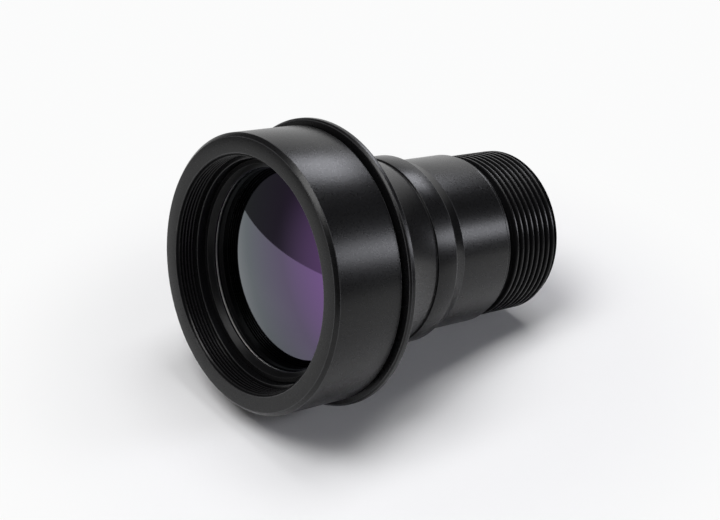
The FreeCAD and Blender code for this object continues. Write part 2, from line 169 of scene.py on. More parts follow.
# %% [markdown]
# ## Threads
# The CAD threads are plain grooves, one under another. On the real lens each thread is one groove that
# winds up as it goes round. The spin operator can lift the wire a little at each step, which sweeps one
# tooth into a helix, and neighbouring turns then merge edge to edge. A texture could fake this, but the
# teeth show in the outline of the lens, and each crest has to catch its own line of light.

# %% Sweep one tooth into a helix
# How pale a thread crest is painted: part wear, part painted highlight
CREST_WEAR_AND_HIGHLIGHT = 0.1
SPARE_TURNS = 3


def helical_thread(mesh, tooth, crest, pitch, low, high, start):
    """Sweeps a tooth once round and stacks such turns. The tooth is (radius, height), over one pitch."""
    base = low - pitch - start
    turns = int(math.ceil((high - low) / pitch)) + SPARE_TURNS
    before = set(mesh.verts)
    wear_and_painted_light = mesh.verts.layers.float.new("wear_and_painted_light")
    points = [mesh.verts.new((r * MM, 0.0, (base + z) * MM)) for r, z in tooth]
    depth = max(abs(radius - crest) for radius, height in tooth)
    for point, (radius, height) in zip(points, tooth):
        # Crests are marked a little paler, part wear and part painted highlight; flanks and roots are
        # marked for less shine, painted shade in the groove
        point[wear_and_painted_light] = CREST_WEAR_AND_HIGHLIGHT if radius == crest else -abs(radius - crest) / depth
    edges = [mesh.edges.new(pair) for pair in zip(points, points[1:])]
    bmesh.ops.spin(mesh, geom=points + edges, cent=(0, 0, 0), axis=(0, 0, 1),
                   dvec=(0, 0, pitch * MM / STEPS), angle=2 * math.pi, steps=STEPS,
                   use_merge=False, use_duplicate=False)
    turn = [vert for vert in mesh.verts if vert not in before]
    repeat(mesh, turn, turns, Matrix.Translation((0, 0, pitch * MM)))


print("a tooth is swept in steps:", STEPS)

# %% Run the thread out and cut it square
def keep_radius(mesh, limit):
    """Moves each point in or out to the radius that limit(radius, height), in mm, allows."""
    for vert in mesh.verts:
        radius = math.hypot(vert.co.x, vert.co.y) / MM
        allowed = limit(radius, vert.co.z / MM)
        vert.co.x *= allowed / radius
        vert.co.y *= allowed / radius


def trim(mesh, low, high):
    """Cuts the sweep square at two heights, in mm."""
    for height, side in ((low, -1), (high, 1)):
        bmesh.ops.bisect_plane(mesh, geom=mesh.verts[:] + mesh.edges[:] + mesh.faces[:], dist=1e-8,
                               plane_co=(0, 0, height * MM), plane_no=(0, 0, side), clear_outer=True)


print("the sweep runs on by turns:", SPARE_TURNS)

# %% Join the thread to the rest of a piece
RIM_HEIGHT_SLACK = 0.01
RIM_REACH = 0.5
COLUMN_SLACK = 0.005


def rim(mesh, radius, height):
    """The open edges near a circle of this radius and height, in mm."""
    def near(vert):
        off_axis = math.hypot(vert.co.x, vert.co.y) / MM
        return abs(vert.co.z / MM - height) < RIM_HEIGHT_SLACK and abs(off_axis - radius) < RIM_REACH

    return [edge for edge in mesh.edges if edge.is_boundary and all(near(vert) for vert in edge.verts)]


def even_rim(mesh, radius, height):
    """Welds the points where the tooth's lines were cut to the spin's columns, on an exact circle."""
    points = {vert for edge in rim(mesh, radius, height) for vert in edge.verts}

    def off_column(vert):
        column = math.atan2(vert.co.y, vert.co.x) / (2 * math.pi) * STEPS
        return abs(column - round(column))

    columns = [vert for vert in points if off_column(vert) < COLUMN_SLACK]
    weld = {}
    for vert in points.difference(columns):
        weld[vert] = min(columns, key=lambda column: (column.co - vert.co).length)
    bmesh.ops.weld_verts(mesh, targetmap=weld)
    wear_and_painted_light = mesh.verts.layers.float.get("wear_and_painted_light")
    for vert in columns:
        stretch = radius * MM / math.hypot(vert.co.x, vert.co.y)
        vert.co = (vert.co.x * stretch, vert.co.y * stretch, height * MM)
        vert[wear_and_painted_light] = 0.0


def join_thread(mesh, corners):
    """Spins the rest of a piece from an open wire, whose two ends lie on the thread's even rims."""
    for radius, height in (corners[0][:2], corners[-1][:2]):
        even_rim(mesh, radius, height)
    before = set(mesh.verts)
    wire(mesh, corners, closed=False)
    spin_wire(mesh, [vert for vert in mesh.verts if vert not in before])
    bmesh.ops.remove_doubles(mesh, verts=mesh.verts[:], dist=SAME_PLACE)


print("points closer than this are one, in mm:", SAME_PLACE / MM)

# %% [markdown]
# ## Finishes
# The outside is bead blasted and then anodised black. Blasting leaves a very fine, even dimple, and the
# oxide is a thin clear layer over a dyed one, so the surface is dark with a broad soft shine that grows
# at the edges. A Principled shader does this with a dark colour, a middling roughness and a fine noise
# bump. Rings that are turned after blasting keep the tool's fine circles instead.

# %% Small helpers for materials
def new_material(name):
    """A node material and its Principled shader."""
    material = bpy.data.materials.new(name)
    material.use_nodes = True
    tree = material.node_tree
    return material, tree, tree.nodes["Principled BSDF"]


def add(tree, kind, **values):
    """Adds a node and sets its properties, or its inputs where the name is one of them."""
    node = tree.nodes.new("ShaderNode" + kind)
    for key, value in values.items():
        if hasattr(node, key):
            setattr(node, key, value)
        else:
            node.inputs[key.replace("_", " ")].default_value = value
    return node


def noise(tree, scale, detail=2.0):
    """Noise on the piece's own coordinates, with scale in features per metre."""
    place = add(tree, "TexCoord")
    texture = add(tree, "TexNoise", Scale=scale, Detail=detail)
    tree.links.new(place.outputs["Object"], texture.inputs["Vector"])
    return texture.outputs["Fac"]


def combined(tree, operation, first, second, clamp=False):
    """Adds or multiplies two values. The second may be a plain number."""
    node = add(tree, "Math", operation=operation, use_clamp=clamp)
    tree.links.new(first, node.inputs[0])
    if isinstance(second, float):
        node.inputs[1].default_value = second
    else:
        tree.links.new(second, node.inputs[1])
    return node.outputs["Value"]


print("finishes that the record names:", len(set(slot_of.values())))

# %% Helpers that map a value to a range, a colour or a bump
NOISE_LOW = 0.3
NOISE_HIGH = 0.7


def graded(tree, value, start, end, low, high, interpolation="LINEAR"):
    """Goes from low to high as the value goes from start to end."""
    node = add(tree, "MapRange", From_Min=start, From_Max=end, To_Min=low, To_Max=high,
               interpolation_type=interpolation)
    tree.links.new(value, node.inputs["Value"])
    return node.outputs["Result"]


def between(tree, value, low, high):
    """Maps 0..1 noise, which stays near its middle, to a range."""
    return graded(tree, value, NOISE_LOW, NOISE_HIGH, low, high)


def shade(tree, value, dark, light):
    """A colour between two, by a value from 0 to 1."""
    node = add(tree, "Mix", data_type="RGBA")
    node.inputs["A"].default_value = (*dark, 1.0)
    node.inputs["B"].default_value = (*light, 1.0)
    tree.links.new(value, node.inputs["Factor"])
    return node.outputs["Result"]


def bump(tree, shader, height, strength, distance):
    """Bumps the shader by a height, whose full step is a distance in metres."""
    node = add(tree, "Bump", Strength=strength, Distance=distance)
    tree.links.new(height, node.inputs["Height"])
    tree.links.new(node.outputs["Normal"], shader.inputs["Normal"])


print("noise is taken between:", NOISE_LOW, NOISE_HIGH)

# %% The circles that a turning tool leaves
def circles(tree, per_metre):
    """A ripple in rings round the optical axis."""
    place = add(tree, "TexCoord")
    parts = add(tree, "SeparateXYZ")
    tree.links.new(place.outputs["Object"], parts.inputs["Vector"])
    flat = add(tree, "CombineXYZ")
    tree.links.new(parts.outputs["X"], flat.inputs["X"])
    tree.links.new(parts.outputs["Y"], flat.inputs["Y"])
    off_axis = add(tree, "VectorMath", operation="LENGTH")
    tree.links.new(flat.outputs["Vector"], off_axis.inputs[0])
    travel = combined(tree, "ADD", off_axis.outputs["Value"], parts.outputs["Z"])
    sine = add(tree, "Math", operation="SINE")
    tree.links.new(combined(tree, "MULTIPLY", travel, per_metre * 2 * math.pi), sine.inputs[0])
    return sine.outputs["Value"]


CIRCLES_PER_METRE = 4000.0
print("tool circles per mm:", CIRCLES_PER_METRE * MM)

# %% Black anodised aluminium, blasted and turned
# Scales are in features per metre, and bump distances in metres
CLOUD_SCALE = 160.0
WEAR_AND_HIGHLIGHT_SCALE = 500.0
GLOSS_SCALE = 2600.0
BLAST_SCALE = 4500.0
BLAST_DISTANCE = 0.00002
CIRCLE_DISTANCE = 0.000004
CIRCLE_STRENGTH = 0.10
COLOUR_SPREAD = 0.25
GLOSS_SPREAD = 0.022
# Colour of the paler edges and crests: part worn oxide, part painted highlight
WORN_AND_HIGHLIGHT_COLOUR = (0.05, 0.05, 0.052)
DULLEST = -0.4
DULLEST_SHINE = 0.03
OXIDE_IOR = 1.35


def anodised(name, colour, roughness, grain=0.0, circles_per_metre=0.0, shine=0.5, threaded=False):
    """Black anodised aluminium: blasted, or turned where a number of circles is given."""
    material, tree, shader = new_material(name)
    dark = tuple((1.0 - COLOUR_SPREAD) * part for part in colour)
    light = tuple((1.0 + COLOUR_SPREAD) * part for part in colour)

    # Edges and thread crests are painted paler: part oxide worn thin, part painted highlight. Where a piece
    # has no such numbers, the number reads 0
    wear_and_painted_light = add(tree, "Attribute", attribute_name="wear_and_painted_light").outputs["Fac"]
    patches = between(tree, noise(tree, WEAR_AND_HIGHLIGHT_SCALE), 0.6, 1.0)
    skin = add(tree, "Mix", data_type="RGBA")
    skin.inputs["B"].default_value = (*WORN_AND_HIGHLIGHT_COLOUR, 1.0)
    tree.links.new(combined(tree, "MULTIPLY", wear_and_painted_light, patches), skin.inputs["Factor"])
    tree.links.new(shade(tree, noise(tree, CLOUD_SCALE, 3.0), dark, light), skin.inputs["A"])
    tree.links.new(skin.outputs["Result"], shader.inputs["Base Color"])

    # Where the number is below 0 the shine is less: in the thread grooves as painted shade, and on the matt
    # bands
    shader.inputs["Specular IOR Level"].default_value = shine
    if threaded:
        duller = graded(tree, wear_and_painted_light, DULLEST, 0.0, DULLEST_SHINE, shine)
        tree.links.new(duller, shader.inputs["Specular IOR Level"])

    gloss = between(tree, noise(tree, GLOSS_SCALE, 1.0), roughness - GLOSS_SPREAD, roughness + GLOSS_SPREAD)
    tree.links.new(gloss, shader.inputs["Roughness"])
    shader.inputs["Metallic"].default_value = 0.0
    shader.inputs["IOR"].default_value = OXIDE_IOR
    if circles_per_metre:
        bump(tree, shader, circles(tree, circles_per_metre), CIRCLE_STRENGTH, CIRCLE_DISTANCE)
    else:
        bump(tree, shader, noise(tree, BLAST_SCALE, 1.0), grain, BLAST_DISTANCE)
    return material


print("a worn edge reflects, in percent:", 100 * WORN_AND_HIGHLIGHT_COLOUR[0])

# %% The four anodised finishes
BLASTED_BLACK = (0.004, 0.004, 0.0044)
bell_finish = anodised("bell_anodised", BLASTED_BLACK, roughness=0.29, grain=0.3, threaded=True)
housing_finish = anodised("housing_anodised", BLASTED_BLACK, roughness=0.29, grain=0.3, threaded=True)
ring_finish = anodised("ring_anodised", (0.005, 0.005, 0.0054), roughness=0.34,
                       circles_per_metre=CIRCLES_PER_METRE, shine=0.2)
inner_finish = anodised("inner_anodised", (0.005, 0.005, 0.005), roughness=0.55, grain=0.2, shine=0.3)
print("anodised:", bell_finish.name, housing_finish.name, ring_finish.name, inner_finish.name)

# %% [markdown]
# ## Coated germanium
# Germanium is opaque in visible light and reflects like a dull metal. Its anti-reflection coating is
# made for infrared, so in visible light it only tints the reflection: purple when seen square on, grey
# towards grazing. A metallic Principled shader whose colour follows the facing angle shows that from
# every side. A glass shader would be wrong here, because nothing behind the element can be seen.

# %% The coating
# The coating's colour is set at four angles, from square on (0) to grazing (1)
ANGLES = (0.20, 0.33, 0.48, 0.95)
GREY = (0.35, 0.35, 0.36)
FRONT_TINTS = ((0.17, 0.09, 0.245), (0.104, 0.084, 0.138), (0.100, 0.114, 0.125), GREY)
REAR_TINTS = ((0.13, 0.09, 0.25), (0.09, 0.09, 0.14), (0.11, 0.13, 0.15), GREY)
POLISH = 0.02
POLISH_SPREAD = 0.015
SMEAR_SCALE = 240.0


def germanium(name, tints):
    """A polished opaque element whose reflection changes colour with the angle."""
    material, tree, shader = new_material(name)
    angle = add(tree, "LayerWeight", Blend=0.5)
    ramp = add(tree, "ValToRGB")
    stops = ramp.color_ramp.elements
    stops[0].position = ANGLES[0]
    stops[1].position = ANGLES[-1]
    for position in ANGLES[1:-1]:
        stops.new(position)
    for stop, tint in zip(stops, tints):
        stop.color = (*tint, 1.0)
    tree.links.new(angle.outputs["Facing"], ramp.inputs["Fac"])
    tree.links.new(ramp.outputs["Color"], shader.inputs["Base Color"])
    shader.inputs["Metallic"].default_value = 1.0
    smears = between(tree, noise(tree, SMEAR_SCALE, 4.0), POLISH, POLISH + POLISH_SPREAD)
    tree.links.new(smears, shader.inputs["Roughness"])
    return material


front_coating = germanium("front_glass", FRONT_TINTS)
inner_coating = germanium("inner_glass", FRONT_TINTS)
rear_coating = germanium("rear_glass", REAR_TINTS)
print("coated:", front_coating.name, inner_coating.name, rear_coating.name)

# %% [markdown]
# ## Rubber, film and steel
# The seals are nitrile rubber, the slip washers a thin white acetal film, and the shim a strip of
# blackened steel. All three are small and nearly hidden, so one function serves: a colour that drifts
# between two close shades, a slightly uneven gloss and a fine grain.

# %% Rubber, acetal film and blackened steel
DRIFT_SCALE = 900.0
UNEVEN_SCALE = 2500.0
UNEVEN_GLOSS = 0.05
GRAIN_DISTANCE = 0.00001


def plain_finish(name, dark, light, roughness, grain_scale, grain, metallic=0.0):
    """A finish with a cloudy colour and a fine grain."""
    material, tree, shader = new_material(name)
    tree.links.new(shade(tree, noise(tree, DRIFT_SCALE, 3.0), dark, light), shader.inputs["Base Color"])
    gloss = between(tree, noise(tree, UNEVEN_SCALE), roughness - UNEVEN_GLOSS, roughness + UNEVEN_GLOSS)
    tree.links.new(gloss, shader.inputs["Roughness"])
    shader.inputs["Metallic"].default_value = metallic
    bump(tree, shader, noise(tree, grain_scale, 2.0), grain, GRAIN_DISTANCE)
    return material


rubber = plain_finish("seal_rubber", (0.012, 0.012, 0.012), (0.022, 0.022, 0.022),
                      roughness=0.5, grain_scale=12000.0, grain=0.2)
acetal = plain_finish("washer_plastic", (0.50, 0.50, 0.47), (0.62, 0.62, 0.60),
                      roughness=0.45, grain_scale=8000.0, grain=0.15)
steel = plain_finish("shim_steel", (0.02, 0.02, 0.021), (0.035, 0.034, 0.034),
                     roughness=0.4, grain_scale=6000.0, grain=0.2, metallic=1.0)
print("other finishes:", rubber.name, acetal.name, steel.name)

# %% [markdown]
# ## The front bell
# The bell is the wide cup at the front. Its mouth carries a fine inside thread for a filter or window,
# with a smooth shoulder below it where the retaining ring's bore begins. The thread is swept first,
# cut square at the mouth and the shoulder, and opened by the mouth's chamfer. The rest of the section,
# from the front face round the outside and back up the bore, is one wire.

# %% Sizes of the bell, in mm up the axis
FRONT = 68.85
BELL_REAR = 53.15
BELL_RADIUS = 27.0
MOUTH_CHAMFER = 0.6
MOUTH_EDGE = 0.15
FILTER_CREST = 22.59
FILTER_ROOT = 23.0
FILTER_PITCH = 0.75
FILTER_START = 0.1
FILTER_RUN_OUT = 0.2
FILTER_RUN_SLOPE = 1.5
RECESS_FLOOR = 64.55
RING_BORE = 21.7
RING_SEAT = 60.15
FRONT_SEAT = 57.75
SPIGOT_RADIUS = 20.0
SPIGOT_END = 48.15
FINE_TOOTH = [(FILTER_ROOT, 0.0), (FILTER_ROOT, 0.05), (22.8, 0.165), (22.62, 0.27),
              (FILTER_CREST, 0.30), (FILTER_CREST, 0.45),
              (22.62, 0.48), (22.8, 0.585), (FILTER_ROOT, 0.70), (FILTER_ROOT, FILTER_PITCH)]
print("bell length:", round(FRONT - BELL_REAR, 2))

# %% The mouth's thread
def mouth_limit(radius, height):
    """The mouth's chamfer opens the thread, and the last turn runs out above the shoulder."""
    opened = FILTER_CREST + (height - (FRONT - MOUTH_CHAMFER))
    run_out = FILTER_CREST + max(0.0, height - RECESS_FLOOR - FILTER_RUN_OUT) * FILTER_RUN_SLOPE
    return max(min(radius, run_out), opened)


mesh = bmesh.new()
helical_thread(mesh, FINE_TOOTH, FILTER_CREST, FILTER_PITCH, RECESS_FLOOR, FRONT, FILTER_START)
keep_radius(mesh, mouth_limit)
trim(mesh, RECESS_FLOOR, FRONT - MOUTH_EDGE)
print("thread points:", len(mesh.verts))

# %% The rest of the bell, as radius, height and rounding in mm
join_thread(mesh, [
    # The mouth's chamfer, the front face and the chamfer round it
    (FILTER_CREST + MOUTH_CHAMFER - MOUTH_EDGE, FRONT - MOUTH_EDGE),
    (FILTER_CREST + MOUTH_CHAMFER, FRONT, 0.10),
    (26.25, FRONT, 0.11),
    (BELL_RADIUS, 68.1, 0.11),
    # The outside and the face of the joint
    (BELL_RADIUS, 53.6, 0.11),
    (26.55, BELL_REAR, 0.12),
    # The spigot, with the groove for its seal
    (SPIGOT_RADIUS, BELL_REAR),
    (SPIGOT_RADIUS, 51.1),
    (19.2, 51.1),
    (19.2, 50.0),
    (SPIGOT_RADIUS, 50.0),
    (SPIGOT_RADIUS, 48.45),
    (19.7, SPIGOT_END),
    # The bore, the front element's seat and the groove for its seal
    (17.8, SPIGOT_END),
    (17.8, 56.15),
    (18.6, 56.45),
    (18.6, FRONT_SEAT),
    (20.6, FRONT_SEAT),
    (20.6, 58.4),
    (21.4, 58.4),
    (21.4, 59.5),
    (20.6, 59.5),
    (20.6, RING_SEAT),
    # The bore of the retaining ring and the shoulder below the thread
    (RING_BORE, RING_SEAT),
    (RING_BORE, 64.4, 0.07),
    (21.85, RECESS_FLOOR, 0.07),
    (FILTER_CREST, RECESS_FLOOR),
])

# The bore below the thread is matt, so that no stray light reaches the glass
dull_band(mesh, heights=(60.0, 64.5), radii=(RING_BORE - 0.05, RING_BORE + 0.05), dullness=-0.3)
finished(mesh, "bell", "front_bell", bell_finish)

# %% [markdown]
# ## The front retaining ring
# The ring screws down on the front element. Its narrow front land is finely serrated, so that a rubber
# tool grips it, and a bevel leads in to the glass. The serrations are made as real teeth: the ring is
# spun in more than a thousand steps, and every other column of points on the land is sunk slightly.

# %% The ring
RING_TOP = 62.9
RING_RADIUS = 21.6
LAND_OUTER = 21.40
LAND_INNER = 20.74
SERRATION_STEPS = 1080
SERRATION_DEPTH = 0.05

mesh = bmesh.new()
wire(mesh, [
    (20.7, RING_SEAT),
    (RING_RADIUS, RING_SEAT),
    (RING_RADIUS, RING_TOP - 0.12, 0.03),
    (21.48, RING_TOP),
    (LAND_OUTER, RING_TOP),
    (LAND_INNER, RING_TOP),
    (20.65, RING_TOP, 0.04),
    (19.8, 61.85, 0.04),
    (19.8, 61.42),
    (20.7, 61.42),
], closed=True)
spin_wire(mesh, mesh.verts[:], SERRATION_STEPS)
print("ring points:", len(mesh.verts))

# %% Its serrations
ON_LAND = 0.01
sunk = 0
for vert in mesh.verts:
    radius = math.hypot(vert.co.x, vert.co.y) / MM
    column = round(math.atan2(vert.co.y, vert.co.x) / (2 * math.pi) * SERRATION_STEPS)
    level = abs(vert.co.z / MM - RING_TOP) < ON_LAND
    if column % 2 and level and LAND_INNER - ON_LAND < radius < LAND_OUTER + ON_LAND:
        vert.co.z -= SERRATION_DEPTH * MM
        sunk += 1
finished(mesh, "front_ring", "front_retaining_ring", ring_finish, crease=20.0)
print("serration points sunk:", sunk)

# %% [markdown]
# ## The elements
# Each element is a meniscus: both faces are spheres bowed towards the scene. A vertex spun about the
# centre of its sphere draws the arc, and the arc spun about the axis makes the face, so the curve is
# exact and the reflection in it runs smoothly. Only the front and rear elements can be seen.

# %% Spherical elements
ARC_STEPS = 40
RIM_BEVEL = 0.15


def element(name, node, floor, top, radius, front, back, material):
    """A meniscus element. front and back are (curve radius, clear radius), in mm."""
    mesh = bmesh.new()
    ends = []
    for height, (curve, clear) in ((top, front), (floor, back)):
        pole = height + curve - math.sqrt(curve ** 2 - clear ** 2)
        centre = (0, 0, (pole - curve) * MM)
        start = mesh.verts.new((0.0, 0.0, pole * MM))
        arc = bmesh.ops.spin(mesh, geom=[start], cent=centre, axis=(0, 1, 0), dvec=(0, 0, 0),
                             angle=math.asin(clear / curve), steps=ARC_STEPS,
                             use_merge=False, use_duplicate=False)
        ends.append(next(item for item in arc["geom_last"] if isinstance(item, bmesh.types.BMVert)))
    side = [(radius - RIM_BEVEL, top), (radius, top - RIM_BEVEL),
            (radius, floor + RIM_BEVEL), (radius - RIM_BEVEL, floor)]
    chain = [ends[0]] + [mesh.verts.new((r * MM, 0.0, z * MM)) for r, z in side] + [ends[1]]
    for pair in zip(chain, chain[1:]):
        mesh.edges.new(pair)
    spin_wire(mesh, mesh.verts[:])
    finished(mesh, name, node, material)


element("front_glass", "front_element", floor=FRONT_SEAT, top=FRONT_SEAT + 3.4, radius=20.5,
        front=(63.4, 20.1), back=(92.0, 18.3), material=front_coating)
element("rear_glass", "rear_element", floor=7.0, top=10.2, radius=14.1,
        front=(30.0, 12.4), back=(46.0, 12.0), material=rear_coating)

# %% [markdown]
# ## The main housing
# One turned piece: a thin flange behind the bell, a long tapered neck, a short band, a step down to the
# plain barrel, a small lip and relief, and the mounting thread. The thread is swept as the mouth's was,
# and tapered at both ends so that it runs out into the relief above and the chamfer below.

# %% Sizes of the housing, in mm up the axis
THREAD_TOP = 13.9
THREAD_CREST = 17.0
THREAD_ROOT = 16.15
THREAD_PITCH = 1.5
THREAD_START = 0.25
END_CHAMFER = 1.2
RELIEF_RADIUS = 15.9
RELIEF_TOP = 15.1
RUN_OUT = 0.65
LIP_RADIUS = 17.3
BARREL_RADIUS = 17.6
BAND_RADIUS = 19.1
FLANGE_RADIUS = 28.3
FLANGE_LOW = 50.95
FLANGE_TOP = 52.55
CELL_BORE = 15.6
REAR_BORE = 14.2
COARSE_TOOTH = [(THREAD_ROOT, 0.0), (THREAD_ROOT, 0.11), (16.43, 0.275), (16.72, 0.44), (16.95, 0.575),
                (THREAD_CREST, 0.62), (THREAD_CREST, 0.88),
                (16.95, 0.925), (16.72, 1.06), (16.43, 1.225), (THREAD_ROOT, 1.39),
                (THREAD_ROOT, THREAD_PITCH)]


def housing_limit(radius, height):
    """The end chamfer and the run-out into the relief."""
    chamfer = THREAD_CREST - END_CHAMFER + height
    run_out = RELIEF_RADIUS + (THREAD_TOP - height) * (THREAD_CREST - RELIEF_RADIUS) / RUN_OUT
    return max(1.0, min(radius, chamfer, run_out))


print("turns of the mounting thread:", round(THREAD_TOP / THREAD_PITCH, 1))

# %% The housing, with its mounting thread
mesh = bmesh.new()
helical_thread(mesh, COARSE_TOOTH, THREAD_CREST, THREAD_PITCH, 0.0, THREAD_TOP, THREAD_START)
keep_radius(mesh, housing_limit)
trim(mesh, 0.0, THREAD_TOP)
join_thread(mesh, [
    # The relief and the small lip above it
    (RELIEF_RADIUS, THREAD_TOP),
    (RELIEF_RADIUS, RELIEF_TOP, 0.05),
    (17.1, RELIEF_TOP, 0.03),
    (LIP_RADIUS, 15.3, 0.04),
    (LIP_RADIUS, 15.83, 0.04),
    (17.18, 15.95),
    # The plain barrel, the short cone and the band
    (17.48, 16.07),
    (BARREL_RADIUS, 16.19, 0.08),
    (BARREL_RADIUS, 28.55, 0.2),
    (18.7, 31.55, 0.12),
    (BAND_RADIUS, 31.95, 0.14),
    (BAND_RADIUS, 36.73, 0.05),
    # The long neck and the flange
    (18.7, 36.85, 0.08),
    (23.8, FLANGE_LOW, 0.15),
    (27.92, FLANGE_LOW, 0.12),
    (FLANGE_RADIUS, 51.33, 0.12),
    (FLANGE_RADIUS, 52.17, 0.12),
    (27.92, FLANGE_TOP, 0.12),
    # The bore that takes the bell's spigot, and the bore of the inner cell
    (20.4, FLANGE_TOP),
    (20.1, 52.25),
    (20.1, 47.85),
    (CELL_BORE, 47.85),
    (CELL_BORE, 22.0),
    (13.4, 22.0),
    (13.4, 13.0),
    # The rear element's seat, and the groove for its seal
    (12.6, 12.2),
    (12.6, 10.2),
    (REAR_BORE, 10.2),
    (REAR_BORE, 9.3),
    (15.0, 9.3),
    (15.0, 8.2),
    (REAR_BORE, 8.2),
    # The rear face
    (REAR_BORE, 0.4, 0.04),
    (14.6, 0.0, 0.04),
    (THREAD_CREST - END_CHAMFER, 0.0),
])

# In the picture the short cone behind the band has almost no shine
dull_band(mesh, heights=(28.6, 31.5), radii=(THREAD_CREST, BAND_RADIUS), dullness=-0.25)
finished(mesh, "housing", "main_housing", housing_finish)

# %% [markdown]
# ## The shim and the inner pieces
# A thin shim in the joint sets the distance of the bell. It lies deep between the bell and the flange,
# where the gap looks black. All that is left is inside the lens or at its rear end: rings, washers,
# seals, sleeves and the middle elements. Their CAD shapes are plain rings with spanner slots, which
# need no more detail, so they stay and only take a better finish.

# %% The focus shim
SHIM_RADIUS = 23.1
turned("shim", "focus_shim", [(20.1, FLANGE_TOP), (SHIM_RADIUS, FLANGE_TOP),
                              (SHIM_RADIUS, BELL_REAR), (20.1, BELL_REAR)], steel)

# %% The other nodes keep their CAD shape and take a finish
FINISHES = {
    "ring_anodised": ring_finish,
    "inner_anodised": inner_finish,
    "inner_glass": inner_coating,
    "seal_rubber": rubber,
    "washer_plastic": acetal,
}
REPLACED = {"front_bell", "front_retaining_ring", "front_element", "rear_element", "main_housing",
            "focus_shim"}
for node, thing in frame["nodes"].items():
    if node in REPLACED:
        continue
    finish = FINISHES[slot_of[node]]
    if not thing.material_slots:
        thing.data.materials.append(finish)
    for place in thing.material_slots:
        place.material = finish
print("nodes kept:", len(frame["nodes"]) - len(REPLACED))

# %% [markdown]
# ## Camera
# In the picture the lens lies on its side, with its front to the left and nearer. The part itself
# stands on its thread in the frame, so it is the camera that turns: the pose of the optical axis in a
# plain pinhole view was fitted to the circles of the picture, and is undone here to place the camera.

# %% Place the camera from the fitted pose
FOCAL_PIXELS = 1575.4
WIDTH_PIXELS = 720
SENSOR = 36.0
FRONT_CENTRE = Vector((-21.572, 2.966, 296.04))
AXIS_BACK = Vector((0.75795, -0.14112, 0.63686)).normalized()
CAMERA_DROP = math.radians(32.3)

# Right, down and forward of the camera, with the floor's up
floor_up = Vector((0.0, -math.cos(CAMERA_DROP), -math.sin(CAMERA_DROP)))
part_z = -AXIS_BACK
part_x = floor_up.cross(part_z).normalized()
part_y = part_z.cross(part_x)
to_part = Matrix((part_x, part_y, part_z))
rear_centre = FRONT_CENTRE + AXIS_BACK * FRONT
eye = to_part @ (-rear_centre) * MM
right = to_part @ Vector((1, 0, 0))
down = to_part @ Vector((0, 1, 0))
forward = to_part @ Vector((0, 0, 1))

camera_data = bpy.data.cameras.new("camera")
camera_data.sensor_width = SENSOR
camera_data.sensor_fit = "HORIZONTAL"
camera_data.lens = FOCAL_PIXELS * SENSOR / WIDTH_PIXELS
camera_data.clip_start = 0.01
camera = bpy.data.objects.new("camera", camera_data)
bpy.context.scene.collection.objects.link(camera)
turn = Matrix((right, -down, -forward)).transposed().to_4x4()
camera.matrix_world = Matrix.Translation(eye) @ turn
bpy.context.scene.camera = camera
print("lens in mm:", round(camera_data.lens, 1), "distance in mm:", round(eye.length / MM))

# %% [markdown]
# ## Floor, background and lights
# The lens lies on a white sheet, so the floor touches the rim of its flange and the end of its thread.
# The sheet ends close behind the lens, where the white background takes over. It is seen from above
# only: from below it lets the view through, so that the lens can be looked at from every side. The
# sheet's plain white shows in metal and glass too, and so does the background behind the lens. The
# rest of the room is dark to reflections, because a black barrel gets its shape from the edges of a
# few lights and not from an even white room. The lamps stand where the picture's highlights and
# shadow put them.

# %% The floor's place
# The sheet touches the rim of the flange and the end of the thread, as radius and height in mm
CONTACTS = ((FLANGE_RADIUS, 51.7), (THREAD_CREST, 2.5))
up = (to_part @ floor_up).normalized()
across = math.sqrt(1.0 - up.z ** 2)
lowest = min(height * up.z - radius * across for radius, height in CONTACTS)
away = (forward - up * forward.dot(up)).normalized()
ground = Vector((0.0, 0.0, FRONT * 0.5 * MM))
ground -= up * (ground.dot(up) - lowest * MM)


def spot(to_right, high, far):
    """A point from the ground under the lens, in metres: to the camera's right, up and away from it."""
    return ground + right * to_right + up * high + away * far


print("floor below the axis in mm:", round(-lowest, 2))

# %% The rays that see the white background
PAPER = (0.965, 0.967, 0.967, 1.0)


def rays(tree, glossy_share=None):
    """1 for camera and transmission rays, and for glossy rays 1 or the share that is given."""
    ray = add(tree, "LightPath").outputs
    glossy = ray["Is Glossy Ray"]
    if glossy_share is not None:
        glossy = combined(tree, "MULTIPLY", glossy, glossy_share)
    through = combined(tree, "ADD", ray["Is Camera Ray"], ray["Is Transmission Ray"], clamp=True)
    return combined(tree, "ADD", through, glossy, clamp=True)


print("paper white:", PAPER[0])

# %% The floor's shape
FLOOR_HALF = 0.8
FLOOR_EDGE = 0.24
FLOOR_FAR = 0.11
FLOOR_TURN = math.radians(43.0)
mesh = bmesh.new()
bmesh.ops.create_grid(mesh, x_segments=1, y_segments=1, size=FLOOR_HALF)
bmesh.ops.translate(mesh, verts=mesh.verts[:], vec=(FLOOR_HALF - FLOOR_EDGE, FLOOR_FAR - FLOOR_HALF, 0.0))
bmesh.ops.rotate(mesh, verts=mesh.verts[:], cent=(0, 0, 0), matrix=Matrix.Rotation(-FLOOR_TURN, 3, "Z"))
for vert in mesh.verts:
    vert.co = spot(vert.co.x, 0.0, vert.co.y)
bmesh.ops.recalc_face_normals(mesh, faces=mesh.faces[:])
if mesh.faces[:][0].normal.dot(up) < 0:
    bmesh.ops.reverse_faces(mesh, faces=mesh.faces[:])
data = bpy.data.meshes.new("floor")
mesh.to_mesh(data)
mesh.free()
floor = bpy.data.objects.new("floor", data)
bpy.context.scene.collection.objects.link(floor)
print("floor size in m:", FLOOR_HALF * 2)

